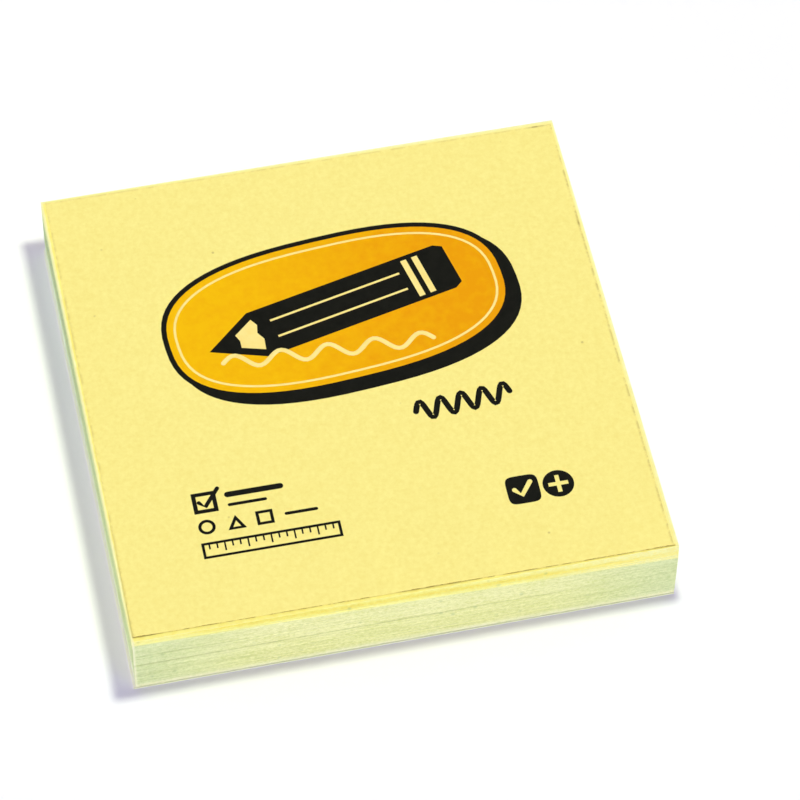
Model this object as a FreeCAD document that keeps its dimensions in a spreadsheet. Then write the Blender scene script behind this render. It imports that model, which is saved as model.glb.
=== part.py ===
import FreeCAD, Part
import Sketcher
import math
import os

# A pad of square self-stick notes, lying on a table with its printed cover up.
# X runs across the notes, Y towards the glued edge and Z up. The origin is the
# middle of the underside. Lengths are millimetres and angles are degrees.

document = FreeCAD.newDocument("sticky_note_pad")

# Driving sizes
# Each row is a name, its value and what it measures.
SIZES = (
    ("note_width", "76", "note, side to side"),
    ("note_depth", "76", "note, free edge to glued edge"),
    ("note_count", "100", "notes in the pad"),
    ("paper_thickness", "0.11", "one note"),
    ("note_film", "0.006", "dried glue between two notes"),
    ("glue_width", "16", "glue band, front to rear"),
    ("glue_margin", "1.5", "bare strip from the glue band to the rear edge"),
    ("bundle_count", "48", "notes in the lower bundle, which stands a little forward"),
    ("bundle_step", "0.05", "how far the upper bundle lies behind the lower one"),
    ("fan_height", "1.55", "depth of the fanned notes, at the middle of the free edge"),
    ("fan_lean", "7", "how far the fanned edge leans back from upright"),
    ("fan_skew", "1.35", "the fan reaches deeper to the right, by this angle"),
    ("backing_thickness", "0.16", "backing sheet"),
    ("backing_overhang", "0.25", "how far the backing sheet stands out past the notes, at the sides"),
    ("backing_lip", "0.15", "how far it stands out at the free edge and at the rear"),
    ("notes_shift", "0.1", "how far right of the backing sheet's middle the notes are stuck"),
    ("strip_film", "0.02", "glue on the cover and on the backing sheet"),
    ("cover_thickness", "0.11", "printed cover sheet"),
    ("cover_front_inset", "0.65", "from the notes' free edge to the cover's"),
    ("cover_rear_inset", "0.35", "from the notes' rear edge to the cover's"),
    ("cover_left_inset", "0.4", "from the notes' left edge to the cover's"),
    ("cover_right_inset", "0.35", "from the notes' right edge to the cover's"),
    ("cover_turn", "-0.25", "the cover is turned by this angle, seen from above"),
    ("cover_curl", "22", "stretch of the cover's free end that curls up"),
    ("cover_lift", "0.22", "rise of the cover's free edge"),
    ("cut_margin", "2", "how far a cutting profile runs past the block"),
)

sizes = document.addObject("Spreadsheet::Sheet", "sizes")
for row, (alias, value, meaning) in enumerate(SIZES, start=1):
    sizes.set(f"A{row}", meaning)
    sizes.set(f"B{row}", value)
    sizes.setAlias(f"B{row}", alias)
document.recompute()

# Sizes that follow from the driving ones, as expressions on the sheet
HALF_WIDTH = "sizes.note_width / 2"
HALF_DEPTH = "sizes.note_depth / 2"
PITCH = "(sizes.paper_thickness + sizes.note_film)"
BLOCK_BOTTOM = "(sizes.backing_thickness + sizes.strip_film)"
BLOCK_HEIGHT = f"(sizes.note_count * {PITCH} - sizes.note_film)"
BLOCK_TOP = f"({BLOCK_BOTTOM} + {BLOCK_HEIGHT})"
LOWER_BUNDLE = f"(sizes.bundle_count * {PITCH} - sizes.note_film / 2)"
GLUE_REAR = f"({HALF_DEPTH} - sizes.glue_margin)"
BACKING_WIDTH = "(sizes.note_width + 2 * sizes.backing_overhang)"
BACKING_DEPTH = "(sizes.note_depth + 2 * sizes.backing_lip)"
COVER_BOTTOM = f"({BLOCK_TOP} + sizes.strip_film)"
COVER_WIDTH = "(sizes.note_width - sizes.cover_left_inset - sizes.cover_right_inset)"
COVER_REAR = f"({HALF_DEPTH} - sizes.cover_rear_inset)"
COVER_DEPTH = "(sizes.note_depth - sizes.cover_front_inset - sizes.cover_rear_inset)"


def number(expression):
    """What an expression on the sheet comes to now, as a plain number."""
    return float(sizes.evalExpression(expression))


def new_body(label):
    body = document.addObject("PartDesign::Body", label)
    body.Label = label
    return body


def origin_feature(body, role):
    return next(item for item in body.Origin.OriginFeatures if item.Role == role)


def new_sketch(body, name, role):
    """An empty sketch on one of the body's own origin planes."""
    sketch = body.newObject("Sketcher::SketchObject", name)
    sketch.AttachmentSupport = (origin_feature(body, role), [""])
    sketch.MapMode = "FlatFace"
    return sketch


def dimension(sketch, kind, first, second, name, expression):
    """A driving distance between two sketch points, tied to an expression."""
    constraint = Sketcher.Constraint(kind, *first, *second, number(expression))
    index = sketch.addConstraint(constraint)
    sketch.renameConstraint(index, name)
    sketch.setExpression(f"Constraints.{name}", expression)


def draw_outline(sketch, corners):
    """A closed outline of straight lines through the given corners."""
    count = len(corners)
    for index, corner in enumerate(corners):
        start = FreeCAD.Vector(*corner)
        end = FreeCAD.Vector(*corners[(index + 1) % count])
        sketch.addGeometry(Part.LineSegment(start, end))
    for index in range(count):
        sketch.addConstraint(Sketcher.Constraint("Coincident", index, 2, (index + 1) % count, 1))


ORIGIN_POINT = (-1, 1)


def rectangle(body, name, height, left_reach, width, rear_reach, depth):
    """A level rectangle at a height, placed by its left and rear sides."""
    sketch = new_sketch(body, name, "XY_Plane")
    sketch.setExpression(".AttachmentOffset.Base.z", height)
    left = -number(left_reach)
    right = left + number(width)
    rear = number(rear_reach)
    front = rear - number(depth)
    draw_outline(sketch, ((left, front), (right, front), (right, rear), (left, rear)))
    for line in (0, 2):
        sketch.addConstraint(Sketcher.Constraint("Horizontal", line))
    for line in (1, 3):
        sketch.addConstraint(Sketcher.Constraint("Vertical", line))
    dimension(sketch, "DistanceX", (0, 1), ORIGIN_POINT, "left_reach", left_reach)
    dimension(sketch, "DistanceX", (0, 1), (0, 2), "width", width)
    dimension(sketch, "DistanceY", ORIGIN_POINT, (2, 1), "rear_reach", rear_reach)
    dimension(sketch, "DistanceY", (1, 1), (1, 2), "depth", depth)
    return sketch


def pad(body, name, profile, length):
    feature = body.newObject("PartDesign::Pad", name)
    feature.Profile = profile
    feature.setExpression("Length", length)
    profile.Visibility = False
    return feature


def cut_through(body, name, profile):
    """A pocket that runs right through the body, both ways from its profile."""
    volume_before = body.Shape.Volume
    feature = body.newObject("PartDesign::Pocket", name)
    feature.Profile = profile
    feature.Type = "ThroughAll"
    feature.SideType = "Symmetric"
    document.recompute()
    if not body.Shape.Volume < volume_before:
        raise ValueError(f"{name} cuts nothing")
    return feature


def shift_like_notes(body):
    """Moves a body to the notes' place, a little to the right of the backing sheet's middle."""
    body.setExpression(".Placement.Base.x", "sizes.notes_shift")


# Backing sheet
# A plain, slightly heavier sheet that the last note is stuck to. The pad rests on
# it. It stands out past the notes by a hair all round, and most at the left.
backing = new_body("backing_sheet")
backing_outline = rectangle(
    backing,
    "backing_outline",
    "0",
    f"{BACKING_WIDTH} / 2",
    BACKING_WIDTH,
    f"{BACKING_DEPTH} / 2",
    BACKING_DEPTH,
)
pad(backing, "backing_pad", backing_outline, "sizes.backing_thickness")

# Glue of the last note
# The band of glue along the rear of the last note, on the backing sheet.
backing_glue = new_body("backing_glue")
backing_glue_outline = rectangle(
    backing_glue,
    "backing_glue_outline",
    "sizes.backing_thickness",
    HALF_WIDTH,
    "sizes.note_width",
    GLUE_REAR,
    "sizes.glue_width",
)
pad(backing_glue, "backing_glue_pad", backing_glue_outline, "sizes.strip_film")
shift_like_notes(backing_glue)

# Note block
# The glue bands of all the notes lie over each other and make one upright core.
# Every note is a leaf on that core, free in front of it and for a short way behind.
notes = new_body("note_block")
core_outline = rectangle(
    notes, "core_outline", BLOCK_BOTTOM, HALF_WIDTH, "sizes.note_width", GLUE_REAR, "sizes.glue_width"
)
pad(notes, "glued_core", core_outline, BLOCK_HEIGHT)
leaf_outline = rectangle(
    notes, "leaf_outline", BLOCK_BOTTOM, HALF_WIDTH, "sizes.note_width", HALF_DEPTH, "sizes.note_depth"
)
leaf = pad(notes, "leaf", leaf_outline, "sizes.paper_thickness")
leaves = notes.newObject("PartDesign::LinearPattern", "leaves")
leaves.Originals = [leaf]
leaves.Direction = (origin_feature(notes, "Z_Axis"), [""])
leaves.Mode = "Spacing"
leaves.setExpression("Offset", PITCH)
leaves.setExpression("Occurrences", "sizes.note_count")
notes.Tip = leaves
document.recompute()

# The pad is gathered from two bundles, and the upper one lies a little further back.
step_profile = new_sketch(notes, "step_profile", "YZ_Plane")
step_front = -number(HALF_DEPTH) - number("sizes.cut_margin")
step_rear = -number(HALF_DEPTH) + number("sizes.bundle_step")
step_low = number(f"{BLOCK_BOTTOM} + {LOWER_BUNDLE}")
step_high = number(BLOCK_TOP) + number("sizes.cut_margin")
draw_outline(
    step_profile,
    ((step_front, step_low), (step_rear, step_low), (step_rear, step_high), (step_front, step_high)),
)
for line in (0, 2):
    step_profile.addConstraint(Sketcher.Constraint("Horizontal", line))
for line in (1, 3):
    step_profile.addConstraint(Sketcher.Constraint("Vertical", line))
UPPER_FRONT = f"({HALF_DEPTH} - sizes.bundle_step)"
dimension(step_profile, "DistanceX", (0, 2), ORIGIN_POINT, "upper_front", UPPER_FRONT)
dimension(step_profile, "DistanceX", (0, 1), (0, 2), "reach", "sizes.bundle_step + sizes.cut_margin")
dimension(
    step_profile, "DistanceY", ORIGIN_POINT, (0, 1), "bundle_top", f"{BLOCK_BOTTOM} + {LOWER_BUNDLE}"
)
dimension(
    step_profile,
    "DistanceY",
    (1, 1),
    (1, 2),
    "rise",
    f"{BLOCK_HEIGHT} - {LOWER_BUNDLE} + sizes.cut_margin",
)
cut_through(notes, "bundle_step_cut", step_profile)

# Handling has fanned the top notes: their free edges lie further back the higher
# the note. The fan is a slope that leans back, and reaches deeper to the right.
fan_profile = new_sketch(notes, "fan_profile", "YZ_Plane")
fan_profile.AttachmentOffset = FreeCAD.Placement(
    FreeCAD.Vector(), FreeCAD.Rotation(FreeCAD.Vector(1, 0, 0), number("sizes.fan_skew"))
)
fan_profile.setExpression(".AttachmentOffset.Rotation.Angle", "sizes.fan_skew")
fan_foot = -number(UPPER_FRONT)
fan_low = number(f"{BLOCK_TOP} - sizes.fan_height")
fan_high = number(f"{BLOCK_TOP} + sizes.cut_margin")
fan_back = fan_foot + (fan_high - fan_low) * math.tan(math.radians(number("sizes.fan_lean")))
fan_front = fan_foot - number("sizes.cut_margin")
draw_outline(
    fan_profile,
    ((fan_front, fan_low), (fan_foot, fan_low), (fan_back, fan_high), (fan_front, fan_high)),
)
for line in (0, 2):
    fan_profile.addConstraint(Sketcher.Constraint("Horizontal", line))
fan_profile.addConstraint(Sketcher.Constraint("Vertical", 3))
dimension(fan_profile, "DistanceX", (0, 2), ORIGIN_POINT, "fan_foot", UPPER_FRONT)
dimension(fan_profile, "DistanceX", (0, 1), (0, 2), "reach", "sizes.cut_margin")
dimension(
    fan_profile, "DistanceY", ORIGIN_POINT, (0, 2), "fan_low", f"{BLOCK_TOP} - sizes.fan_height"
)
dimension(
    fan_profile, "DistanceY", (1, 1), (1, 2), "rise", "sizes.fan_height + sizes.cut_margin"
)
slope = fan_profile.addConstraint(
    Sketcher.Constraint("Angle", 1, math.radians(90 - number("sizes.fan_lean")))
)
fan_profile.renameConstraint(slope, "slope")
fan_profile.setExpression("Constraints.slope", "(90 - sizes.fan_lean) * 1 deg")
cut_through(notes, "fan_cut", fan_profile)
shift_like_notes(notes)


def lay_like_cover(body):
    """Moves a body to the cover's place: shifted by the side insets and turned."""
    body.Placement.Rotation = FreeCAD.Rotation(FreeCAD.Vector(0, 0, 1), number("sizes.cover_turn"))
    body.setExpression(".Placement.Rotation.Angle", "sizes.cover_turn")
    body.setExpression(
        ".Placement.Base.x",
        "sizes.notes_shift + (sizes.cover_left_inset - sizes.cover_right_inset) / 2",
    )


# Glue of the cover
# The cover is stuck down by a band along its rear, as every note is.
cover_glue = new_body("cover_glue")
cover_glue_outline = rectangle(
    cover_glue,
    "cover_glue_outline",
    BLOCK_TOP,
    f"{COVER_WIDTH} / 2",
    COVER_WIDTH,
    f"({COVER_REAR} - sizes.glue_margin)",
    "sizes.glue_width",
)
pad(cover_glue, "cover_glue_pad", cover_glue_outline, "sizes.strip_film")
lay_like_cover(cover_glue)

# Cover sheet
# A printed sheet, a little smaller than the notes and laid slightly askew. It is
# flat from the rear edge on, and its free end curls up in a long shallow arc.
cover = new_body("cover_sheet")
cover_profile = new_sketch(cover, "cover_profile", "YZ_Plane")
cover_low = number(COVER_BOTTOM)
cover_rear = number(COVER_REAR)
cover_front = cover_rear - number(COVER_DEPTH)
thickness = number("sizes.cover_thickness")
curl = number("sizes.cover_curl")
lift = number("sizes.cover_lift")
curl_start = cover_front + curl
curl_radius = (curl * curl + lift * lift) / (2 * lift)
curl_centre = FreeCAD.Vector(curl_start, cover_low + curl_radius)
curl_angle = math.asin(curl / curl_radius)


def on_curl(radius, angle):
    """A point of the curl, by its angle from the curl's start."""
    offset = FreeCAD.Vector(-math.sin(angle), -math.cos(angle))
    return curl_centre + offset * radius


def curl_arc(radius):
    circle = Part.Circle(curl_centre, FreeCAD.Vector(0, 0, 1), radius)
    downwards = -math.pi / 2
    return Part.ArcOfCircle(circle, downwards - curl_angle, downwards)


inner_radius = curl_radius - thickness
under_start = FreeCAD.Vector(curl_start, cover_low)
upper_start = FreeCAD.Vector(curl_start, cover_low + thickness)
under_rear = FreeCAD.Vector(cover_rear, cover_low)
upper_rear = FreeCAD.Vector(cover_rear, cover_low + thickness)
cover_profile.addGeometry(Part.LineSegment(under_rear, under_start))
cover_profile.addGeometry(curl_arc(curl_radius))
cover_profile.addGeometry(
    Part.LineSegment(on_curl(curl_radius, curl_angle), on_curl(inner_radius, curl_angle))
)
cover_profile.addGeometry(curl_arc(inner_radius))
cover_profile.addGeometry(Part.LineSegment(upper_start, upper_rear))
cover_profile.addGeometry(Part.LineSegment(upper_rear, under_rear))
UNDERSIDE, UNDER_CURL, FREE_EDGE, UPPER_CURL, TOP_SIDE, REAR_EDGE = range(6)
START, END, CENTRE = range(1, 4)
for joined in (
    ("Tangent", UNDERSIDE, END, UNDER_CURL, END),
    ("Coincident", UNDER_CURL, START, FREE_EDGE, START),
    ("Coincident", FREE_EDGE, END, UPPER_CURL, START),
    ("Tangent", UPPER_CURL, END, TOP_SIDE, START),
    ("Coincident", TOP_SIDE, END, REAR_EDGE, START),
    ("Coincident", REAR_EDGE, END, UNDERSIDE, START),
    ("Coincident", UNDER_CURL, CENTRE, UPPER_CURL, CENTRE),
    ("PointOnObject", UNDER_CURL, CENTRE, FREE_EDGE),
    ("Horizontal", UNDERSIDE),
    ("Vertical", REAR_EDGE),
):
    cover_profile.addConstraint(Sketcher.Constraint(*joined))
dimension(cover_profile, "DistanceX", ORIGIN_POINT, (REAR_EDGE, START), "rear_reach", COVER_REAR)
dimension(cover_profile, "DistanceY", ORIGIN_POINT, (UNDERSIDE, START), "height", COVER_BOTTOM)
dimension(
    cover_profile,
    "DistanceY",
    (REAR_EDGE, END),
    (REAR_EDGE, START),
    "thickness",
    "sizes.cover_thickness",
)
dimension(
    cover_profile,
    "DistanceX",
    (UNDERSIDE, END),
    (UNDERSIDE, START),
    "flat_stretch",
    f"{COVER_DEPTH} - sizes.cover_curl",
)
dimension(
    cover_profile, "DistanceX", (UNDER_CURL, START), (UNDER_CURL, END), "curl", "sizes.cover_curl"
)
dimension(
    cover_profile, "DistanceY", (UNDER_CURL, END), (UNDER_CURL, START), "lift", "sizes.cover_lift"
)
cover_pad = pad(cover, "cover_pad", cover_profile, COVER_WIDTH)
cover_pad.SideType = "Symmetric"
lay_like_cover(cover)

document.recompute()

# Every feature has to have built, and every piece has to be one sound solid.
for item in document.Objects:
    if "Invalid" in item.State or "Error" in item.State:
        raise ValueError(f"{item.Label} did not build: {item.State}")
PIECES = (backing, backing_glue, notes, cover_glue, cover)
for piece in PIECES:
    shape = piece.Shape
    if shape.isNull() or not shape.isValid() or len(shape.Solids) != 1:
        raise ValueError(f"{piece.Label} is not one valid solid")

os.makedirs("parts", exist_ok=True)
for piece in PIECES:
    piece.Shape.exportStep(f"parts/{piece.Label}.step")
    box = piece.Shape.BoundBox
    print(
        f"{piece.Label}: {piece.Shape.Volume:.2f} mm3,",
        f"x {box.XMin:.3f} to {box.XMax:.3f},",
        f"y {box.YMin:.3f} to {box.YMax:.3f},",
        f"z {box.ZMin:.3f} to {box.ZMax:.3f}",
    )
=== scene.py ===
import math

import bpy
from mathutils import Matrix, Vector
from mathutils.geometry import delaunay_2d_cdt


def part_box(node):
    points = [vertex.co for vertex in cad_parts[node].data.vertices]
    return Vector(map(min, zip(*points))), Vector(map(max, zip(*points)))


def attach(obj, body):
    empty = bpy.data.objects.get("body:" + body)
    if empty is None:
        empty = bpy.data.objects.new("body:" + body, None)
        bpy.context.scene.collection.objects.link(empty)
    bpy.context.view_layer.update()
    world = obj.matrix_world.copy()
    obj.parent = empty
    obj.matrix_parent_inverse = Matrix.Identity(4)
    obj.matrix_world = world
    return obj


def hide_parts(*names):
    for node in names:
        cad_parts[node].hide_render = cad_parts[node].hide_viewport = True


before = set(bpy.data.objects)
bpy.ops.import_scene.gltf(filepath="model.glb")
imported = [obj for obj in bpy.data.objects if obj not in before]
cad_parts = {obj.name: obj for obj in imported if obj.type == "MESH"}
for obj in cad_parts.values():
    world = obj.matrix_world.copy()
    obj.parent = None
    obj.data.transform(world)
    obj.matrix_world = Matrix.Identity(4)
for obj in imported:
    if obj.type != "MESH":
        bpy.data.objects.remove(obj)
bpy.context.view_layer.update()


# Table, light and camera
# The pad lies on a plain white table. A soft lamp hangs over it, two low lamps lift its
# sides, and daylight, bluer from the front right, fills the shadows. The camera looks
# down on the free edge from a little to the left.
MM = 0.001


def wire(tree, kind, inputs=None, **settings):
    """Adds a node, then sets or links its inputs, given by place or by name."""
    made = tree.nodes.new(kind)
    for name, value in settings.items():
        setattr(made, name, value)
    for place, value in (inputs or {}).items():
        if isinstance(value, bpy.types.NodeSocket):
            tree.links.new(value, made.inputs[place])
        else:
            made.inputs[place].default_value = value
    return made


def sum_of(tree, operation, first, second=None, third=None):
    """One step of arithmetic between sockets or numbers."""
    given = {place: v for place, v in enumerate((first, second, third)) if v is not None}
    return wire(tree, "ShaderNodeMath", given, operation=operation).outputs[0]


def seen_directly(tree):
    """1 for the camera's own rays and what gloss and glass show of the room."""
    path = wire(tree, "ShaderNodeLightPath").outputs
    seen = sum_of(tree, "MAXIMUM", path["Is Camera Ray"], path["Is Glossy Ray"])
    return sum_of(tree, "MAXIMUM", seen, path["Is Transmission Ray"])


def lay_table():
    reach = 1.5
    mesh = bpy.data.meshes.new("table")
    corners = ((-reach, -reach, 0), (reach, -reach, 0), (reach, reach, 0), (-reach, reach, 0))
    mesh.from_pydata(corners, [], [(0, 1, 2, 3)])
    table = bpy.data.objects.new("table", mesh)
    bpy.context.scene.collection.objects.link(table)
    white = bpy.data.materials.new("white_table")
    white.use_nodes = True
    tree = white.node_tree
    tree.nodes.clear()
    lit = wire(tree, "ShaderNodeBsdfDiffuse", {"Color": (0.8, 0.8, 0.8, 1)})
    shown = wire(tree, "ShaderNodeBsdfDiffuse", {"Color": (0.985, 0.98, 1, 1)})
    either = wire(
        tree, "ShaderNodeMixShader", {0: seen_directly(tree), 1: lit.outputs[0], 2: shown.outputs[0]}
    )
    wire(tree, "ShaderNodeOutputMaterial", {0: either.outputs[0]})
    mesh.materials.append(white)


def hang_key(level, place, radius, colour):
    """A soft lamp near the pad, so that its shadow spreads, but even over the table."""
    lamp = bpy.data.lights.new("key", "POINT")
    lamp.energy = level * 4 * math.pi ** 2
    lamp.shadow_soft_size = radius
    lamp.color = colour
    lamp.use_nodes = True
    tree = lamp.node_tree
    tree.nodes.clear()
    reach = wire(tree, "ShaderNodeLightPath").outputs["Ray Length"]
    rising = sum_of(tree, "MULTIPLY", reach, 1 / place[2])
    even = wire(tree, "ShaderNodeLightFalloff", {"Strength": rising}).outputs["Constant"]
    glow = wire(tree, "ShaderNodeEmission", {"Strength": even})
    wire(tree, "ShaderNodeOutputLight", {0: glow.outputs[0]})
    key = bpy.data.objects.new("key", lamp)
    key.location = place
    bpy.context.scene.collection.objects.link(key)


def hang_fill(name, level, towards, spread, colour=(1, 1, 1)):
    """A far lamp. A low one lifts the sides and leaves the table as it is."""
    lamp = bpy.data.lights.new(name, "SUN")
    lamp.energy = level * math.pi
    lamp.angle = math.radians(spread)
    lamp.color = colour
    fill = bpy.data.objects.new(name, lamp)
    fill.rotation_mode = "QUATERNION"
    fill.rotation_quaternion = Vector(towards).to_track_quat("Z", "Y")
    bpy.context.scene.collection.objects.link(fill)


def light_room():
    world = bpy.data.worlds.new("daylight")
    world.use_nodes = True
    tree = world.node_tree
    tree.nodes.clear()
    looking = wire(tree, "ShaderNodeTexCoord").outputs["Generated"]
    rearward = wire(tree, "ShaderNodeSeparateXYZ", {0: looking}).outputs[1]
    level = sum_of(tree, "MULTIPLY_ADD", rearward, 0.31, 0.4)
    sky = wire(tree, "ShaderNodeBackground", {"Color": (1.03, 0.93, 1.22, 1), "Strength": level})
    backdrop = wire(tree, "ShaderNodeBackground", {"Color": (1, 1, 1, 1), "Strength": 1})
    either = wire(
        tree, "ShaderNodeMixShader", {0: seen_directly(tree), 1: sky.outputs[0], 2: backdrop.outputs[0]}
    )
    wire(tree, "ShaderNodeOutputWorld", {0: either.outputs[0]})
    bpy.context.scene.world = world
    hang_key(
        level=0.605,
        place=(28 * MM, -3.5 * MM, 250 * MM),
        radius=19 * MM,
        colour=(0.965, 1.035, 0.8),
    )
    hang_fill("near_fill", level=0.785, towards=(-0.755, -0.655, 0.034), spread=4)
    hang_fill("far_fill", level=0.4, towards=(0.7, 0.7, 0.03), spread=4)
    hang_fill("sky_fill", level=0.17, towards=(0.5, -0.7, 0.5), spread=30, colour=(0.12, 0.12, 1))


def stand_camera():
    azimuth, elevation, roll = (math.radians(turn) for turn in (-13.32, 55.498, 1.435))
    back = Vector(
        (
            math.sin(azimuth) * math.cos(elevation),
            -math.cos(azimuth) * math.cos(elevation),
            math.sin(elevation),
        )
    )
    right = Vector((math.cos(azimuth), math.sin(azimuth), 0))
    up = back.cross(right)
    across = right * math.cos(roll) + up * math.sin(roll)
    upwards = up * math.cos(roll) - right * math.sin(roll)
    lens = bpy.data.cameras.new("camera")
    lens.sensor_width = 36
    lens.lens = 186.37
    lens.clip_start = 0.01
    camera = bpy.data.objects.new("camera", lens)
    aside, lifted, distance = 7.097 * MM, 2.488 * MM, 592.9 * MM
    facing = Matrix((across, upwards, back)).transposed().to_4x4()
    place = across * aside + upwards * lifted + back * distance
    camera.matrix_world = Matrix.Translation(place) @ facing
    bpy.context.scene.collection.objects.link(camera)
    bpy.context.scene.camera = camera


bpy.context.scene.view_settings.view_transform = "Standard"
lay_table()
light_room()
stand_camera()


# Backing sheet
# A plain sheet, a little heavier than the notes and a hair larger. It is guillotined
# with the pad, so its edge is never quite straight, and it carries the last note.
def tint(red, green, blue):
    """A colour as a screen shows it, 0 to 255, as the light that it stands for."""
    shares = (value / 255 for value in (red, green, blue))
    return tuple(s / 12.92 if s <= 0.04045 else ((s + 0.055) / 1.055) ** 2.4 for s in shares) + (1,)


def paper_base(name, roughness, shine=0.18):
    """A material with the matt surface of paper, and where on the object a point lies."""
    material = bpy.data.materials.new(name)
    material.use_nodes = True
    tree = material.node_tree
    shader = tree.nodes["Principled BSDF"]
    shader.inputs["Roughness"].default_value = roughness
    shader.inputs["Specular IOR Level"].default_value = shine
    place = wire(tree, "ShaderNodeTexCoord").outputs["Object"]
    return material, tree, place


def clouds(tree, place, scale, detail=2.0, roughness=0.5):
    """Soft random patches, between 0 and 1, of the given number to a metre."""
    given = {"Vector": place, "Scale": scale, "Detail": detail, "Roughness": roughness}
    return wire(tree, "ShaderNodeTexNoise", given, noise_dimensions="3D").outputs["Fac"]


def vector_of(tree, operation, first, second):
    """One step of arithmetic between vectors."""
    return wire(tree, "ShaderNodeVectorMath", {0: first, 1: second}, operation=operation).outputs[0]


def parts_of(tree, vector):
    """The x, y and z of a vector."""
    return wire(tree, "ShaderNodeSeparateXYZ", {0: vector}).outputs


def ramp(tree, amount, *stops):
    """Colours laid along an amount: each stop is a place from 0 to 1 and a colour."""
    made = wire(tree, "ShaderNodeValToRGB", {0: amount})
    bands = made.color_ramp.elements
    while len(bands) < len(stops):
        bands.new(1)
    for band, (place, colour) in zip(bands, stops):
        band.position = place
    for band, (place, colour) in zip(bands, stops):
        band.color = colour
    return made.outputs["Color"]


def rise(tree, amount, low, high):
    """Runs smoothly from 0 at low to 1 at high, or down where high is the lower."""
    return wire(
        tree,
        "ShaderNodeMapRange",
        {"Value": amount, "From Min": low, "From Max": high},
        interpolation_type="SMOOTHSTEP",
    ).outputs["Result"]


def lay_over(tree, amount, under, over):
    """One colour over another, by an amount from 0 to 1."""
    made = wire(tree, "ShaderNodeMix", {0: amount, 6: under, 7: over}, data_type="RGBA")
    return made.outputs[2]


def finish_paper(material, colour, place, felt_scale=4500, felt_depth=0.01 * MM):
    """Gives the material its colour and, as a fine bump, the felt of fibres of paper."""
    tree = material.node_tree
    shader = tree.nodes["Principled BSDF"]
    tree.links.new(colour, shader.inputs["Base Color"])
    felt = clouds(tree, place, felt_scale, 3, 0.6)
    bump = wire(tree, "ShaderNodeBump", {"Height": felt, "Strength": 0.5, "Distance": felt_depth})
    tree.links.new(bump.outputs[0], shader.inputs["Normal"])
    return material


def backing_paper():
    """Pale paper, a little greener along the front edge."""
    material, tree, place = paper_base("backing_paper", 0.8)
    patches = clouds(tree, place, 300, 4, 0.6)
    pale = ramp(tree, patches, (0.3, tint(252, 253, 226)), (0.7, tint(255, 255, 242)))
    green = ramp(tree, patches, (0.3, tint(249, 255, 205)), (0.7, tint(253, 255, 221)))
    in_front = rise(tree, parts_of(tree, place)[1], -37.9 * MM, -38.05 * MM)
    return finish_paper(material, lay_over(tree, in_front, pale, green), place, 5000)


# Where a sheet's free edge stands back, so that a faint dark line shows: the sheet,
# the stretch of the edge in millimetres, and how far, as a share of the most.
PARTINGS = (
    (48, -33, 14, 0.4),
    (49, -20, 16, 0.2),
    (43, -30, 2, 0.3),
    (40, 20, 44, 0.6),
    (31, -4, 24, 0.3),
    (28, 24, 44, 0.55),
    (57, 2, 26, 0.35),
    (66, -44, -18, 0.15),
    (74, 14, 40, 0.3),
)
PARTING_DEPTH = 0.03 * MM


def stack_inputs(tree):
    """Names what a stack of sheets is told, and gives the sockets that tell it."""
    face = tree.interface
    face.new_socket("Geometry", in_out="OUTPUT", socket_type="NodeSocketGeometry")
    face.new_socket("Geometry", in_out="INPUT", socket_type="NodeSocketGeometry")
    lengths = (
        "Width", "Depth", "Thickness", "Pitch", "Base", "Shift", "Wander", "Ripple", "Lower Step",
        "Fan Depth", "Fan Skew", "Fan Lean", "Glue Width", "Glue Margin",
    )
    kinds = (
        ("NodeSocketInt", ("Sheets", "Lower Sheets", "Seed")),
        ("NodeSocketFloat", lengths),
        ("NodeSocketMaterial", ("Face Finish", "Cut Finish", "Glue Finish")),
    )
    for kind, names in kinds:
        for name in names:
            face.new_socket(name, in_out="INPUT", socket_type=kind)
    return tree.nodes.new("NodeGroupInput").outputs


def vector_from(tree, **parts):
    """A vector from its parts, 0 where none is given."""
    return wire(tree, "ShaderNodeCombineXYZ", parts).outputs[0]


def note_down(tree, geometry, name, value, domain="POINT"):
    """Keeps a number with each point, face or sheet, under a name."""
    return wire(
        tree,
        "GeometryNodeStoreNamedAttribute",
        {"Geometry": geometry, "Name": name, "Value": value},
        data_type="FLOAT",
        domain=domain,
    ).outputs[0]


def look_up(tree, name):
    """The number that was kept under a name."""
    return wire(
        tree, "GeometryNodeInputNamedAttribute", {"Name": name}, data_type="FLOAT"
    ).outputs[0]


def plain_sheet(tree, given):
    """One flat sheet with its thickness, and points along its edge for the ripple."""
    outline = wire(
        tree,
        "GeometryNodeCurvePrimitiveQuadrilateral",
        {"Width": given["Width"], "Height": given["Depth"]},
    ).outputs[0]
    stations = wire(tree, "GeometryNodeResampleCurve", {"Curve": outline, "Count": 160}).outputs[0]
    flat = wire(tree, "GeometryNodeFillCurve", {"Curve": stations}, mode="NGONS").outputs[0]
    raised = wire(
        tree,
        "GeometryNodeExtrudeMesh",
        {"Mesh": flat, "Offset": (0, 0, 1), "Offset Scale": given["Thickness"], "Individual": False},
    ).outputs["Mesh"]
    under = wire(tree, "GeometryNodeFlipFaces", {"Mesh": flat}).outputs[0]
    shell = wire(tree, "GeometryNodeJoinGeometry", {0: raised})
    tree.links.new(under, shell.inputs[0])
    return wire(
        tree, "GeometryNodeMergeByDistance", {"Geometry": shell.outputs[0], "Distance": 0.001 * MM}
    ).outputs[0]


def pile_up(tree, given, thing, count, first):
    """Copies of a sheet or of a band of glue, each one pitch above the last."""
    onward = vector_from(tree, Z=given["Pitch"])
    pile = wire(
        tree, "GeometryNodeMeshLine", {"Count": count, "Start Location": first, "Offset": onward}
    ).outputs[0]
    return wire(tree, "GeometryNodeInstanceOnPoints", {"Points": pile, "Instance": thing}).outputs[0]


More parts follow.
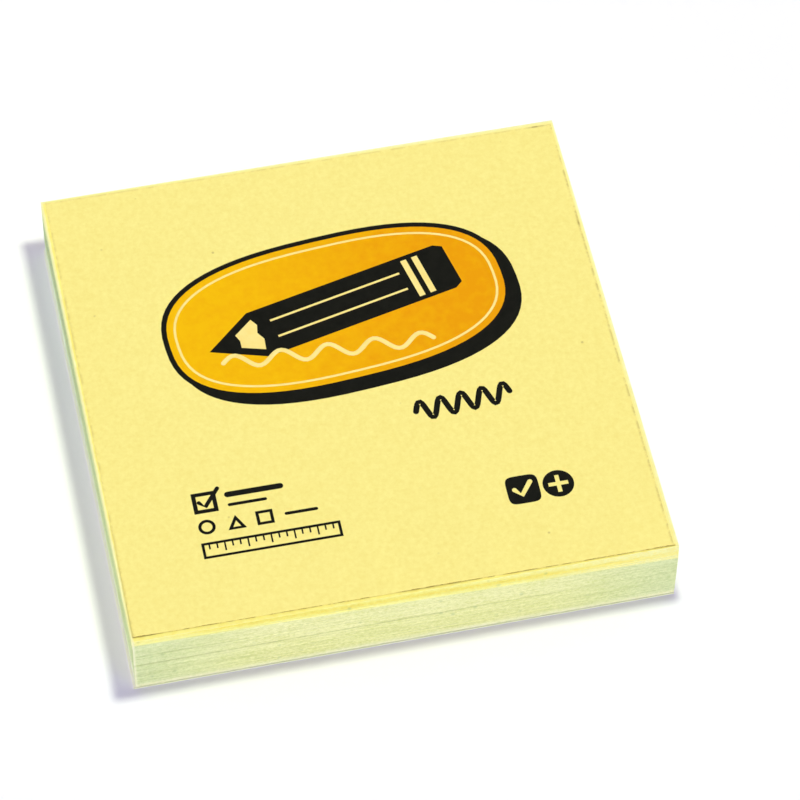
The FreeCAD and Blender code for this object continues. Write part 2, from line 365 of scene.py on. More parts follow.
def stray(tree, given, spot, order, number):
    """How far a point strays: its sheet wanders as a whole, and its edge has a ripple."""
    low, high = sum_of(tree, "MULTIPLY", given["Wander"], -1), given["Wander"]
    least, most = vector_from(tree, X=low, Y=low), vector_from(tree, X=high, Y=high)
    wander = wire(
        tree,
        "FunctionNodeRandomValue",
        {"Min": least, "Max": most, "ID": number, "Seed": given["Seed"]},
        data_type="FLOAT_VECTOR",
    ).outputs["Value"]
    ripple = wire(
        tree,
        "ShaderNodeTexNoise",
        {"Vector": spot, "W": sum_of(tree, "MULTIPLY", order, 3.7), "Scale": 160, "Detail": 3},
        noise_dimensions="4D",
    ).outputs["Color"]
    ripple = vector_of(tree, "SUBTRACT", ripple, (0.5, 0.5, 0.5))
    span = vector_from(tree, X=given["Ripple"], Y=given["Ripple"])
    ripple = vector_of(tree, "MULTIPLY", ripple, span)
    return vector_of(tree, "ADD", wander, ripple)


def share_parted(tree, across, order):
    """How far a free edge stands back at its partings, as a share of the most."""
    parted = 0
    for sheet, start, end, share in PARTINGS:
        here = sum_of(tree, "COMPARE", order, sheet, 0.4)
        here = sum_of(tree, "MULTIPLY", here, rise(tree, across, start * MM, (start + 6) * MM))
        here = sum_of(tree, "MULTIPLY", here, rise(tree, across, end * MM, (end - 6) * MM))
        parted = sum_of(tree, "MULTIPLY_ADD", here, share, parted)
    return parted


def set_back(tree, given, along, order, parted):
    """How far the free edge stands back: by bundle, by fan and by parting."""
    upper = sum_of(tree, "GREATER_THAN", order, sum_of(tree, "SUBTRACT", given["Lower Sheets"], 0.5))
    turned_by = sum_of(tree, "MULTIPLY_ADD", along[0], -9.2, 0.65)
    step = sum_of(tree, "MULTIPLY", sum_of(tree, "MULTIPLY", upper, turned_by), given["Lower Step"])
    top = sum_of(tree, "MULTIPLY_ADD", given["Sheets"], given["Pitch"], given["Base"])
    foot = sum_of(tree, "SUBTRACT", top, given["Fan Depth"])
    foot = sum_of(tree, "SUBTRACT", foot, sum_of(tree, "MULTIPLY", along[0], given["Fan Skew"]))
    above = sum_of(tree, "MAXIMUM", sum_of(tree, "SUBTRACT", along[2], foot), 0)
    setback = sum_of(tree, "MULTIPLY_ADD", above, given["Fan Lean"], step)
    setback = sum_of(tree, "MULTIPLY_ADD", parted, PARTING_DEPTH, setback)
    free_edge = sum_of(tree, "MULTIPLY_ADD", given["Depth"], -0.5, 0.2 * MM)
    setback = sum_of(tree, "MULTIPLY", setback, sum_of(tree, "LESS_THAN", along[1], free_edge))
    return vector_from(tree, Y=setback)


def glue_bands(tree, given):
    """A band of glue in each gap between two sheets, near the rear edge."""
    film = sum_of(tree, "SUBTRACT", given["Pitch"], given["Thickness"])
    across = sum_of(tree, "SUBTRACT", given["Width"], 0.6 * MM)
    size = vector_from(tree, X=across, Y=given["Glue Width"], Z=film)
    band = wire(tree, "GeometryNodeMeshCube", {"Size": size}).outputs[0]
    margin = sum_of(tree, "MULTIPLY", given["Glue Margin"], -1)
    rear = sum_of(tree, "MULTIPLY_ADD", given["Depth"], 0.5, margin)
    middle = sum_of(tree, "MULTIPLY_ADD", given["Glue Width"], -0.5, rear)
    height = sum_of(tree, "ADD", given["Base"], given["Thickness"])
    height = sum_of(tree, "MULTIPLY_ADD", film, 0.5, height)
    first = vector_from(tree, X=given["Shift"], Y=middle, Z=height)
    gaps = sum_of(tree, "SUBTRACT", given["Sheets"], 1)
    return pile_up(tree, given, band, gaps, first)


def set_finishes(tree, given, whole):
    """Gives the glue its material, then the sheets' cut edges, then their faces."""
    of_sheet = sum_of(tree, "GREATER_THAN", look_up(tree, "leaf"), 0.5)
    facing = wire(tree, "GeometryNodeInputNormal").outputs[0]
    upright = sum_of(tree, "ABSOLUTE", parts_of(tree, facing)[2])
    level = sum_of(tree, "GREATER_THAN", upright, 0.5)
    of_face = sum_of(tree, "MULTIPLY", level, of_sheet)
    for name, chosen in (("Glue Finish", True), ("Cut Finish", of_sheet), ("Face Finish", of_face)):
        whole = wire(
            tree,
            "GeometryNodeSetMaterial",
            {"Geometry": whole, "Selection": chosen, "Material": given[name]},
        ).outputs[0]
    return whole


def sheet_stack_tree():
    """A node tree that stacks sheets: count, sizes, wander and fan are its inputs."""
    tree = bpy.data.node_groups.new("sheet_stack", "GeometryNodeTree")
    given = stack_inputs(tree)
    first = vector_from(tree, X=given["Shift"], Z=given["Base"])
    placed = pile_up(tree, given, plain_sheet(tree, given), given["Sheets"], first)
    counted = wire(tree, "GeometryNodeInputIndex").outputs[0]
    numbered = note_down(tree, placed, "sheet_order", counted, "INSTANCE")
    loose = wire(tree, "GeometryNodeRealizeInstances", {"Geometry": numbered}).outputs[0]

    order = look_up(tree, "sheet_order")
    number = wire(tree, "FunctionNodeFloatToInt", {0: order}).outputs[0]
    spot = wire(tree, "GeometryNodeInputPosition").outputs[0]
    along = parts_of(tree, spot)
    parted = share_parted(tree, along[0], order)
    back = set_back(tree, given, along, order, parted)
    offset = vector_of(tree, "ADD", stray(tree, given, spot, order, number), back)
    marked = note_down(tree, loose, "parting", parted)
    moved = wire(tree, "GeometryNodeSetPosition", {"Geometry": marked, "Offset": offset}).outputs[0]
    shade = wire(
        tree,
        "FunctionNodeRandomValue",
        {"Min": 0.0, "Max": 1.0, "ID": number, "Seed": given["Seed"]},
        data_type="FLOAT",
    ).outputs[1]
    moved = note_down(tree, moved, "sheet_shade", shade)
    moved = note_down(tree, moved, "leaf", 1.0, "FACE")

    joined = wire(tree, "GeometryNodeJoinGeometry", {0: glue_bands(tree, given)})
    tree.links.new(moved, joined.inputs[0])
    whole = wire(tree, "GeometryNodeRealizeInstances", {"Geometry": joined.outputs[0]}).outputs[0]
    wire(tree, "NodeGroupOutput", {0: set_finishes(tree, given, whole)})
    return tree


def stack_sheets(name, stack_tree, **values):
    """Runs the sheet stack with the given inputs, and keeps its mesh as one piece."""
    piece = bpy.data.objects.new(name, bpy.data.meshes.new(name))
    bpy.context.scene.collection.objects.link(piece)
    stack = piece.modifiers.new("stack", "NODES")
    stack.node_group = stack_tree
    for item in stack_tree.interface.items_tree:
        plain_name = item.name.replace(" ", "_").lower()
        if item.in_out == "INPUT" and plain_name in values:
            stack[item.identifier] = values[plain_name]
    shown = piece.evaluated_get(bpy.context.evaluated_depsgraph_get())
    mesh = bpy.data.meshes.new_from_object(shown)
    piece.modifiers.remove(stack)
    piece.data = mesh
    mesh.name = name
    return piece


sheet_stack = sheet_stack_tree()
backing_low, backing_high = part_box("backing_sheet")
backing_finish = backing_paper()
backing_card = stack_sheets(
    "backing_card",
    sheet_stack,
    sheets=1,
    lower_sheets=1,
    seed=3,
    width=backing_high.x - backing_low.x - 0.06 * MM,
    depth=backing_high.y - backing_low.y - 0.06 * MM,
    thickness=backing_high.z,
    pitch=backing_high.z,
    base=0.0,
    wander=0.0,
    ripple=0.06 * MM,
    face_finish=backing_finish,
    cut_finish=backing_finish,
)
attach(backing_card, "root")
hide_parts("backing_sheet")


# Glue of the last note
# A band of repositionable glue, printed on in dots and dried to a thin film that
# can still be peeled. It holds the last note to the backing sheet.
def dried_glue():
    """A pale film of small beads."""
    material, tree, place = paper_base("dried_glue", 0.45)
    shader = tree.nodes["Principled BSDF"]
    beads = wire(
        tree, "ShaderNodeTexVoronoi", {"Vector": place, "Scale": 3500}, feature="F1"
    ).outputs["Distance"]
    colour = ramp(tree, beads, (0.2, tint(243, 239, 205)), (0.7, tint(226, 224, 180)))
    tree.links.new(colour, shader.inputs["Base Color"])
    bump = wire(
        tree, "ShaderNodeBump", {"Height": beads, "Strength": 0.6, "Distance": 0.01 * MM}, invert=True
    )
    tree.links.new(bump.outputs[0], shader.inputs["Normal"])
    return material


glue_finish = dried_glue()
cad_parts["backing_glue"].data.materials.clear()
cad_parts["backing_glue"].data.materials.append(glue_finish)


# Note block
# One hundred notes of dyed yellow paper, each stuck to the next by a band of glue
# along the rear. They are gathered in two bundles and guillotined together, and the
# top ones have been fanned a little by handling.
NOTES, LOWER_NOTES = 100, 48
NOTE_SIZE, NOTE_GAP = 76 * MM, 0.006 * MM
FAN_DEPTH = 1.55 * MM
FAN_SKEW, FAN_LEAN = math.tan(math.radians(1.35)), math.tan(math.radians(7))
note_low, note_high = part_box("note_block")
NOTE_PITCH = (note_high.z - note_low.z + NOTE_GAP) / NOTES
NOTE_MIDDLE = (note_low.x + note_high.x) / 2


def near_rim(tree, x, y):
    """1 within a hair of a note's cut edge, where the paper is painted paler and greener: a painted
    highlight along the rim.
    """
    rightward = sum_of(tree, "SUBTRACT", x, NOTE_MIDDLE)
    leftward = sum_of(tree, "MULTIPLY", rightward, -1)
    near = sum_of(tree, "MAXIMUM", leftward, sum_of(tree, "MULTIPLY", y, -1))
    far = sum_of(tree, "MAXIMUM", rightward, y)
    narrow = rise(tree, near, 37.7 * MM, 37.88 * MM)
    broad = rise(tree, far, 37.45 * MM, 37.8 * MM)
    return sum_of(tree, "MAXIMUM", narrow, broad)


def note_face():
    """Yellow paper with a painted highlight along its rim: cream on the top note, greener on those
    below.
    """
    material, tree, place = paper_base("note_face", 0.85)
    x, y, z = parts_of(tree, place)
    patches = clouds(tree, place, 900, 4)
    yellow = ramp(tree, patches, (0.35, tint(253, 239, 126)), (0.65, tint(255, 246, 142)))
    green = ramp(tree, patches, (0.35, tint(222, 232, 164)), (0.65, tint(240, 244, 186)))
    cream = ramp(tree, patches, (0.35, tint(250, 243, 163)), (0.65, tint(253, 248, 182)))
    # Painted highlight: the rim is paler, cream on the top note and greener below.
    pale = lay_over(tree, rise(tree, z, 10 * MM, 11 * MM), green, cream)
    return finish_paper(material, lay_over(tree, near_rim(tree, x, y), yellow, pale), place)


def tints(tree, speckle, dark, light):
    """Two near tints, laid along the speckle of the cut edges."""
    return ramp(tree, speckle, (0.33, tint(*dark)), (0.66, tint(*light)))


def front_tints(tree, speckle, drift, x, z):
    """The free edge: pale green, warmer below, cooler at the ends, with a foot painted pale as if lit
    from the table.
    """
    grey_green = tints(tree, speckle, (228, 231, 150), (252, 252, 188))
    warm_green = tints(tree, speckle, (219, 224, 139), (248, 248, 177))
    cool_green = tints(tree, speckle, (200, 216, 146), (231, 239, 182))
    pale_foot = tints(tree, speckle, (238, 243, 176), (255, 255, 210))
    height = sum_of(tree, "MULTIPLY_ADD", drift, 3 * MM, z)
    front = lay_over(tree, rise(tree, height, 5 * MM, 9 * MM), warm_green, grey_green)
    to_ends = rise(tree, sum_of(tree, "ABSOLUTE", x), 16 * MM, 40 * MM)
    front = lay_over(tree, to_ends, front, cool_green)
    # Painted light: the lowest millimetre or so is paler, as if lit from the table.
    return lay_over(tree, rise(tree, z, 1.4 * MM, 0.3 * MM), front, pale_foot)


def left_tints(tree, speckle, y, z):
    """The left side: painted shade, green and deeper towards the rear, with a foot painted pale as if
    lit from the table and a painted highlight along its brim.
    """
    near_side = tints(tree, speckle, (188, 211, 149), (206, 225, 171))
    far_side = tints(tree, speckle, (156, 181, 136), (175, 195, 157))
    near_foot = tints(tree, speckle, (238, 249, 216), (251, 255, 240))
    far_foot = tints(tree, speckle, (220, 243, 214), (240, 254, 238))
    # Painted shade: the left side is greener and darker than the free edge, and darker still towards
    # the rear.
    rearward = rise(tree, y, -38 * MM, 34 * MM)
    side = lay_over(tree, rearward, near_side, far_side)
    foot = lay_over(tree, rearward, near_foot, far_foot)
    # Painted light: the foot is paler, as if lit from the table.
    side = lay_over(tree, rise(tree, z, 4.9 * MM, 0.9 * MM), side, foot)
    # Painted highlight: a pale brim along the top of the side.
    brim_highlight = sum_of(tree, "MULTIPLY", rise(tree, z, 7 * MM, 10.2 * MM), 0.9)
    return lay_over(tree, brim_highlight, side, tint(248, 250, 188))


def fan_tints(tree, speckle, x, z):
    """The fan: bright yellow, partly painted light, with a golden streak of painted shadow sinking
    rightward.
    """
    # Partly painted light: the fanned edges are brighter and yellower than those below, and paler
    # towards the right.
    fanned = tints(tree, speckle, (255, 250, 140), (255, 255, 165))
    paler_to_right = tints(tree, speckle, (255, 248, 150), (255, 254, 180))
    golden = tints(tree, speckle, (247, 229, 91), (254, 245, 121))
    fanned = lay_over(tree, rise(tree, x, 8 * MM, 32 * MM), fanned, paler_to_right)
    # Painted shadow: a golden streak where the top notes' edges would shade the ones below.
    streak_depth = sum_of(tree, "MULTIPLY_ADD", x, 0.021, 0.75 * MM)
    streak_height = sum_of(tree, "SUBTRACT", note_high.z, streak_depth)
    apart = sum_of(tree, "DIVIDE", sum_of(tree, "SUBTRACT", streak_height, z), 0.5 * MM)
    apart = sum_of(tree, "MULTIPLY", apart, apart)
    streak = sum_of(tree, "EXPONENT", sum_of(tree, "MULTIPLY", apart, -1))
    reach = sum_of(tree, "MULTIPLY", rise(tree, x, -36 * MM, -24 * MM), rise(tree, x, 70 * MM, 8 * MM))
    streak = sum_of(tree, "MULTIPLY", streak, sum_of(tree, "MULTIPLY_ADD", reach, 0.85, 0.1))
    return lay_over(tree, streak, fanned, golden)


def parting_shade(tree, place):
    """How much painted shade darkens the edge at a parting, broken along its length."""
    parted = wire(tree, "ShaderNodeAttribute", attribute_name="parting").outputs["Fac"]
    upright = vector_of(tree, "MULTIPLY", place, (1, 1, 0.2))
    broken = rise(tree, clouds(tree, upright, 380, 3, 0.7), 0.34, 0.62)
    return sum_of(tree, "MULTIPLY", sum_of(tree, "MULTIPLY", parted, broken), 0.2)


def specks(tree, place, scale, size, chance, strength):
    """Small round specks: their number to a metre, size, and how few of them show."""
    given = {"Vector": place, "Scale": scale}
    cells = wire(tree, "ShaderNodeTexVoronoi", given, feature="F1").outputs
    chosen = parts_of(tree, cells["Color"])[0]
    near = rise(tree, cells["Distance"], *size)
    speck = sum_of(tree, "MULTIPLY", near, rise(tree, chosen, *chance))
    return sum_of(tree, "MULTIPLY", speck, strength)


def note_cut_edges():
    """Cut edges: pale green speckled with yellow, with painted shade that makes the left side greener.
    """
    material, tree, place = paper_base("note_cut_edges", 0.9)
    x, y, z = parts_of(tree, place)
    grain = clouds(tree, vector_of(tree, "MULTIPLY", place, (1, 1, 1.4)), 1500, 3, 0.75)
    drift = clouds(tree, vector_of(tree, "MULTIPLY", place, (1, 1, 3.5)), 130, 3, 0.6)
    shade = wire(tree, "ShaderNodeAttribute", attribute_name="sheet_shade").outputs["Fac"]
    speckle = sum_of(tree, "MULTIPLY_ADD", sum_of(tree, "SUBTRACT", shade, 0.5), 0.06, grain)
    speckle = sum_of(tree, "MULTIPLY_ADD", sum_of(tree, "SUBTRACT", drift, 0.5), 0.32, speckle)

    in_front = rise(tree, y, -37.2 * MM, -37.6 * MM)
    at_left = rise(tree, x, -37.2 * MM, -37.6 * MM)
    at_left = sum_of(tree, "MULTIPLY", at_left, sum_of(tree, "SUBTRACT", 1, in_front))
    front = front_tints(tree, speckle, drift, x, z)
    # Painted shade: the left side takes its own greener, darker tints.
    colour = lay_over(tree, at_left, front, left_tints(tree, speckle, y, z))

    # The fan's tints, with their painted light and shadow, cover the top of the free edge.
    fan_foot = sum_of(tree, "MULTIPLY_ADD", x, -FAN_SKEW, note_high.z - FAN_DEPTH)
    in_fan = rise(tree, sum_of(tree, "SUBTRACT", z, fan_foot), -0.45 * MM, 0)
    in_fan = sum_of(tree, "MULTIPLY", in_fan, in_front)
    colour = lay_over(tree, in_fan, colour, fan_tints(tree, speckle, x, z))

    # Painted shade: the partings' grooves are darkened in the colour as well.
    colour = lay_over(tree, parting_shade(tree, place), colour, tint(150, 156, 88))
    speck = specks(tree, place, 620, size=(0.28, 0.08), chance=(0.72, 1), strength=0.4)
    colour = lay_over(tree, speck, colour, tint(160, 184, 120))
    # Painted highlight: a pale stripe down the front left corner.
    corner_highlight = sum_of(tree, "MULTIPLY", rise(tree, x, -37.5 * MM, -37.85 * MM), in_front)
    colour = lay_over(tree, sum_of(tree, "MULTIPLY", corner_highlight, 0.7), colour, tint(252, 252, 214))
    felt = vector_of(tree, "MULTIPLY", place, (1, 1, 2))
    return finish_paper(material, colour, felt, 3000, 0.02 * MM)


note_pad_leaves = stack_sheets(
    "note_leaves",
    sheet_stack,
    sheets=NOTES,
    lower_sheets=LOWER_NOTES,
    seed=11,
    width=NOTE_SIZE,
    depth=NOTE_SIZE,
    thickness=NOTE_PITCH - NOTE_GAP,
    pitch=NOTE_PITCH,
    base=note_low.z,
    shift=NOTE_MIDDLE,
    wander=0.014 * MM,
    ripple=0.07 * MM,
    lower_step=0.05 * MM,
    fan_depth=FAN_DEPTH,
    fan_skew=FAN_SKEW,
    fan_lean=FAN_LEAN,
    glue_width=16 * MM,
    glue_margin=1.5 * MM,
    face_finish=note_face(),
    cut_finish=note_cut_edges(),
    glue_finish=glue_finish,
)
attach(note_pad_leaves, "root")
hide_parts("note_block")


# Glue of the cover
# The same repositionable glue, printed as a band near the rear edge of the first
# note. It holds the cover down there and leaves its other end loose.
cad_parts["cover_glue"].data.materials.clear()
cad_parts["cover_glue"].data.materials.append(glue_finish)


# Cover sheet
# A printed sheet of the same yellow paper, cut a little smaller than the notes and
# laid slightly askew. Its free edge has lifted here and there, so that a broken dark
# line shows under it. The print is flat ink: a badge, a pencil and small signs.
COVER_WIDTH, COVER_FRONT, COVER_REAR = 75.25, -37.35, 37.65
COVER_DEPTH = COVER_REAR - COVER_FRONT
COVER_TURN, COVER_SHIFT, COVER_CURL = math.radians(-0.25), 0.125, 22
COVER_THICKNESS = 0.11
COVER_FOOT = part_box("cover_sheet")[0].z / MM


def turned(points, degrees, centre=(0, 0)):
    angle = math.radians(degrees)
    c, s = math.cos(angle), math.sin(angle)
    away = [(x - centre[0], y - centre[1]) for x, y in points]
    return [(centre[0] + c * x - s * y, centre[1] + s * x + c * y) for x, y in away]


def shifted(points, right, up):
    return [(x + right, y + up) for x, y in points]


def oval(centre, half_width, half_height, fullness=2.0, count=72):
    """A closed oval. With more fullness it comes nearer to a rounded oblong."""
    made = []
    for step in range(count):
        angle = 2 * math.pi * step / count
        c, s = math.cos(angle), math.sin(angle)
        x = math.copysign(abs(c) ** (2 / fullness), c) * half_width
        y = math.copysign(abs(s) ** (2 / fullness), s) * half_height
        made.append((centre[0] + x, centre[1] + y))
    return made


def stroke(path, width, cap=7):
    """The outline of a line of ink that follows a path and has round ends."""
    half = width / 2
    aims = []
    for index in range(len(path)):
        before, after = path[max(index - 1, 0)], path[min(index + 1, len(path) - 1)]
        aims.append(math.atan2(after[1] - before[1], after[0] - before[0]))
    left = [(x - half * math.sin(a), y + half * math.cos(a)) for (x, y), a in zip(path, aims)]
    right = [(x + half * math.sin(a), y - half * math.cos(a)) for (x, y), a in zip(path, aims)]

    def round_end(middle, aim):
        turns = [aim + math.pi / 2 - math.pi * k / cap for k in range(1, cap)]
        return [(middle[0] + half * math.cos(t), middle[1] + half * math.sin(t)) for t in turns]

    return left + round_end(path[-1], aims[-1]) + right[::-1] + round_end(path[0], aims[0] + math.pi)


def wave(start, end, swing, turns, count=64):
    """The path of a hand-drawn wave between two points."""
    made = []
    for step in range(count + 1):
        share = step / count
        x = start[0] + (end[0] - start[0]) * share
        y = start[1] + (end[1] - start[1]) * share
        made.append((x, y + swing * math.sin(2 * math.pi * turns * share)))
    return made


def oblong(left, low, right, high):
    return [(left, low), (right, low), (right, high), (left, high)]


def badge():
    """An oval amber badge with its drop shadow, outline and inner line."""
    centre = (0, 10.8)

    def ring(inset):
        return turned(oval(centre, 25.2 - inset, 13.0 - inset, 2.6), 5, centre)

    return [
        ("black", shifted(ring(-0.1), 1.2, -1.4)),
        ("black", ring(0)),
        ("amber", ring(0.75)),
        ("cream", ring(1.7)),
        ("amber", ring(2.05)),
    ]


def pencil():
    """A pencil laid across the badge, with the wave that it draws."""
    tip, hub = (-19.6, 11.6), (1.5, 11.6)
    shaft = [tip, (-12.2, 15.7), (17, 15.7), (18.2, 15.0), (18.2, 8.2), (17, 7.5), (-12.2, 7.5)]
    wood = [(-17.3, 11.6), (-12.1, 14.4), (-11.6, 13.2), (-12.1, 11.9), (-11.6, 10.6), (-12.1, 8.8)]
    level = [
        ("black", shaft),
        ("cream", wood),
        ("black", [tip, (-15.3, 13.4), (-14.9, 11.6), (-15.3, 9.8)]),
        ("cream", oblong(-9.6, 12.95, 10.6, 13.3)),
        ("cream", oblong(-9.6, 10.0, 10.6, 10.35)),
        ("cream", oblong(11.6, 8.2, 12.5, 15.0)),
        ("cream", oblong(13.3, 8.2, 14.2, 15.0)),
    ]
    drawn = stroke(wave((-17.5, 4.6), (12.5, 3.2), 1.1, 4.5), 0.7)
    return [(ink, turned(points, 13, hub)) for ink, points in level] + [("cream", drawn)]


def ruler():
    """A small ruler with a tick for every part and a longer one for every third."""
    left, right, parts = -26, -6.6, 18
    shapes = [
        ("black", oblong(left, -27.0, right, -24.4)),
        ("paper", oblong(left + 0.4, -26.6, right - 0.4, -24.8)),
    ]
    for tick in range(1, parts):
        middle = left + tick * 19.4 / parts
        reach = 1.2 if tick % 3 == 0 else 0.65
        shapes.append(("black", oblong(middle - 0.12, -24.9 - reach, middle + 0.12, -24.7)))
    return shapes


def small_signs():
    """A scribble, three rows of little black signs, and two bold marks."""
    scribble = [("black", stroke(wave((7.4, -8.8), (21.0, -7.9), 1.5, 4.5), 0.85))]
    first_row = [
        ("black", oblong(-26, -19.6, -22.6, -16.2)),
        ("paper", oblong(-25.4, -19.0, -23.2, -16.8)),
        ("black", stroke([(-25.1, -17.8), (-24.3, -18.6), (-22.2, -15.9)], 0.6)),
        ("black", stroke([(-21.0, -17.2), (-13.6, -17.2)], 0.9)),
        ("black", stroke([(-21.0, -18.9), (-16.0, -18.9)], 0.5)),
    ]
    second_row = [
        ("black", oval((-24.7, -21.9), 1.2, 1.2, 2, 32)),
        ("paper", oval((-24.7, -21.9), 0.75, 0.75, 2, 32)),
        ("black", [(-21.9, -23.0), (-19.3, -23.0), (-20.6, -20.7)]),
        ("paper", [(-21.15, -22.6), (-20.05, -22.6), (-20.6, -21.6)]),
        ("black", oblong(-17.8, -23.0, -15.4, -20.7)),
        ("paper", oblong(-17.35, -22.55, -15.85, -21.15)),
        ("black", stroke([(-13.6, -21.85), (-9.4, -21.85)], 0.5)),
    ]
    bold_marks = [
        ("black", oval((19.2, -24.4), 2.3, 2.3, 5, 40)),
        ("paper", stroke([(18.0, -24.3), (18.9, -25.3), (20.4, -23.3)], 0.7)),
        ("black", oval((24.2, -24.4), 2.2, 2.2, 2, 40)),
        ("paper", oblong(23.9, -25.8, 24.5, -23.0)),
        ("paper", oblong(22.8, -24.7, 25.6, -24.1)),
    ]
    return scribble + first_row + second_row + ruler() + bold_marks


def holds(points, x, y):
    """Whether a point lies inside a closed outline."""
    inside = False
    for (ax, ay), (bx, by) in zip(points, points[1:] + points[:1]):
        if (ay > y) != (by > y) and x < ax + (y - ay) * (bx - ax) / (by - ay):
            inside = not inside
    return inside


def cover_lift(x):
    """How far the free edge has lifted, in millimetres, along its length."""
    marks = (
        (-38, 0.2), (-34.8, 0.17), (-33.2, 0.03), (-27, 0.08), (-24.5, 0), (-21, 0), (-16, 0.08),
        (-12, 0), (-9.5, 0.01), (-7, 0.08), (-3, 0), (0.5, 0.12), (8, 0.1), (11, 0), (13, 0),
        (17, 0.08), (21, 0), (27, 0.08), (31, 0.01), (35, 0.12), (38, 0.2),
    )
    for (x0, z0), (x1, z1) in zip(marks, marks[1:]):
        if x <= x1:
            return z0 + (z1 - z0) * (max(x, x0) - x0) / (x1 - x0)
    return marks[-1][1]


def cover_rim(steps=75):
    """Points around the flat cover, about one to a millimetre."""
    half = COVER_WIDTH / 2
    rim = [(-half + COVER_WIDTH * k / steps, COVER_FRONT) for k in range(steps)]
    rim += [(half, COVER_FRONT + COVER_DEPTH * k / steps) for k in range(steps)]
    rim += [(half - COVER_WIDTH * k / steps, COVER_REAR) for k in range(steps)]
    rim += [(-half, COVER_REAR - COVER_DEPTH * k / steps) for k in range(steps)]
    return rim


def cover_pattern(prints, rows=24):
    """The flat cover in triangles, cut along its rim and along every printed shape."""
    spots, lines = [], []
    for points in [cover_rim()] + [points for ink, points in prints]:
        start, count = len(spots), len(points)
        spots += points
        lines += [(start + k, start + (k + 1) % count) for k in range(count)]
    for i in range(1, rows):
        for j in range(1, rows):
            across = -COVER_WIDTH / 2 + COVER_WIDTH * i / rows
            spots.append((across, COVER_FRONT + COVER_DEPTH * j / rows))
    cut = delaunay_2d_cdt([Vector(spot) for spot in spots], lines, [], 0, 1e-5)
    flat, faces = cut[0], cut[2]
    downward = [(flat[b] - flat[a]).cross(flat[c] - flat[a]) < 0 for a, b, c in faces]
    return flat, [face[::-1] if down else face for face, down in zip(faces, downward)]


def cover_vertex(spot, layer):
    """Where a point of the flat cover lies on the pad: layer 0 is below, 1 is on top."""
    c, s = math.cos(COVER_TURN), math.sin(COVER_TURN)
    bend = max(0, (COVER_FRONT + COVER_CURL - spot.y) / COVER_CURL)
    height = COVER_FOOT + layer * COVER_THICKNESS + cover_lift(spot.x) * bend ** 2
    x, y = c * spot.x - s * spot.y + COVER_SHIFT, s * spot.x + c * spot.y
    return (x * MM, y * MM, height * MM)


def cover_mesh(finishes):
    """The sheet as one closed shell, with the print as faces of its top side."""
    prints = badge() + pencil() + small_signs()
    flat, faces = cover_pattern(prints)
    slots = {ink: k for k, ink in enumerate(finishes)}
    inks = []
    for face in faces:
        x = sum(flat[v].x for v in face) / 3
        y = sum(flat[v].y for v in face) / 3
        ink = next((ink for ink, points in reversed(prints) if holds(points, x, y)), "paper")
        inks.append(slots[ink])
    count = len(flat)
    vertices = [cover_vertex(spot, layer) for layer in (0, 1) for spot in flat]
    top = [tuple(v + count for v in face) for face in faces]
    under = [tuple(face[::-1]) for face in faces]
    sides = {}
    for a, b, c in faces:
        sides.update({(a, b): True, (b, c): True, (c, a): True})
    border = [(a, b) for a, b in sides if (b, a) not in sides]
    cut = [(a, b, b + count, a + count) for a, b in border]
    mesh = bpy.data.meshes.new("cover_print")
    mesh.from_pydata(vertices, [], top + under + cut)
    for finish in finishes.values():
        mesh.materials.append(finish)
    given = inks + [slots["paper"]] * len(under) + [slots["cut"]] * len(cut)
    mesh.polygons.foreach_set("material_index", given)
    mesh.update()
    return mesh


def painted_edge_shadow(tree, place, across, along):
    """How brown the paper is along a line just inside the left, right and rear edges: a painted shadow
    of the cover's edge, broken, and stronger and dotted towards the right.
    """
    half = COVER_WIDTH / 2 * MM
    rightward = sum_of(tree, "ADD", across, 0.2 * MM)
    aside = sum_of(tree, "MAXIMUM", rightward, sum_of(tree, "MULTIPLY", across, -1))
    aside = rise(tree, aside, half - 0.4 * MM, half - 0.1 * MM)
    behind = rise(tree, along, (COVER_REAR - 0.6) * MM, (COVER_REAR - 0.3) * MM)
    shadow_share = sum_of(tree, "MAXIMUM", aside, behind)
    broken = rise(tree, clouds(tree, place, 520, 3, 0.7), 0.4, 0.6)
    to_right = rise(tree, across, 30 * MM, 37 * MM)
    strength = sum_of(tree, "MULTIPLY_ADD", to_right, 0.22, 0.2)
    dots = rise(tree, clouds(tree, place, 260, 2, 0.8), 0.64, 0.7)
    strength = sum_of(tree, "MULTIPLY_ADD", sum_of(tree, "MULTIPLY", dots, to_right), 0.6, strength)
    return sum_of(tree, "MULTIPLY", sum_of(tree, "MULTIPLY", shadow_share, broken), strength)


def pale_strip(tree, across, along):
    """1 on the narrow strip outside the painted shadow line, at the right and the rear."""
    half = COVER_WIDTH / 2 * MM
    aside = rise(tree, across, half - 0.24 * MM, half - 0.12 * MM)
    behind = rise(tree, along, (COVER_REAR - 0.28) * MM, (COVER_REAR - 0.14) * MM)
    return sum_of(tree, "MAXIMUM", aside, behind)


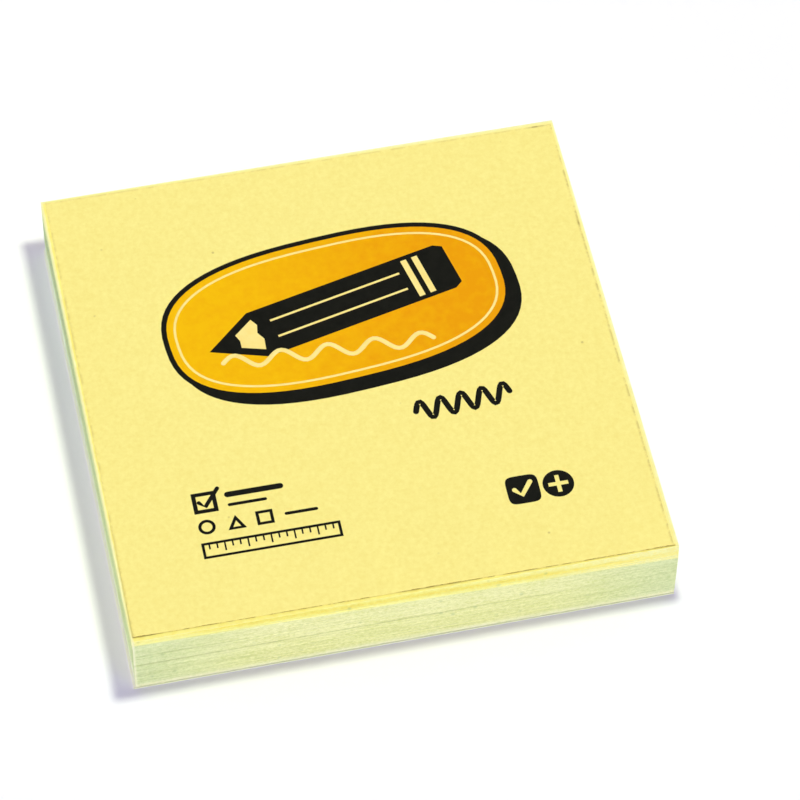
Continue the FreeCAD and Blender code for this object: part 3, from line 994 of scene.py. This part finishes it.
def cover_paper():
    """Yellow paper with a few flecks, and a painted shadow line just inside its edges."""
    material, tree, place = paper_base("cover_paper", 0.8)
    patches = clouds(tree, place, 1400, 4, 0.72)
    colour = ramp(tree, patches, (0.25, tint(246, 229, 127)), (0.75, tint(254, 242, 145)))
    fleck = specks(tree, place, 330, size=(0.09, 0.03), chance=(0.72, 0.95), strength=0.55)
    colour = lay_over(tree, fleck, colour, tint(186, 160, 80))
    from_middle = vector_of(tree, "SUBTRACT", place, (COVER_SHIFT * MM, 0, 0))
    squared = wire(
        tree,
        "ShaderNodeVectorRotate",
        {"Vector": from_middle, "Axis": (0, 0, 1), "Angle": -COVER_TURN},
        rotation_type="AXIS_ANGLE",
    ).outputs[0]
    across, along = parts_of(tree, squared)[:2]
    shadow_share = painted_edge_shadow(tree, place, across, along)
    # Painted shadow: a broken brown line just inside the left, right and rear edges.
    colour = lay_over(tree, shadow_share, colour, tint(178, 152, 72))
    colour = lay_over(tree, pale_strip(tree, across, along), colour, tint(251, 242, 152))
    return finish_paper(material, colour, place)


def cover_cut():
    """The cover's cut edge, brown here and there: partly its own darker edge, partly painted shade for
    the broken dark line under it.
    """
    material, tree, place = paper_base("cover_cut_edge", 0.9)
    edge_dark_and_shade = clouds(tree, place, 640, 3, 0.7)
    # Partly painted shade: brown patches that deepen the broken dark line along the free edge.
    colour = ramp(tree, edge_dark_and_shade, (0.44, tint(172, 144, 58)), (0.55, tint(253, 239, 145)))
    return finish_paper(material, colour, place)


def flat_ink(name, thin, full, spread=0):
    """Ink on paper: its cover is a little uneven, and the paper's felt shows in it."""
    material, tree, place = paper_base(name, 0.7, shine=0.06)
    uneven = clouds(tree, place, 700, 4, 0.6)
    if spread:
        rightward = rise(tree, parts_of(tree, place)[0], -22 * MM, 24 * MM)
        uneven = sum_of(tree, "MULTIPLY_ADD", rightward, spread, uneven)
        uneven = sum_of(tree, "MULTIPLY", uneven, 0.6)
    colour = ramp(tree, uneven, (0.25, thin), (0.8, full))
    return finish_paper(material, colour, place, felt_depth=0.006 * MM)


cover_finishes = {
    "paper": cover_paper(),
    "cut": cover_cut(),
    "black": flat_ink("black_ink", tint(22, 22, 16), tint(8, 9, 5)),
    "amber": flat_ink("amber_ink", tint(247, 191, 4), tint(238, 160, 2), 0.8),
    "cream": flat_ink("cream_ink", tint(253, 226, 128), tint(254, 236, 150)),
}
cover_print = bpy.data.objects.new("printed_cover", cover_mesh(cover_finishes))
bpy.context.scene.collection.objects.link(cover_print)
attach(cover_print, "root")
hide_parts("cover_sheet")
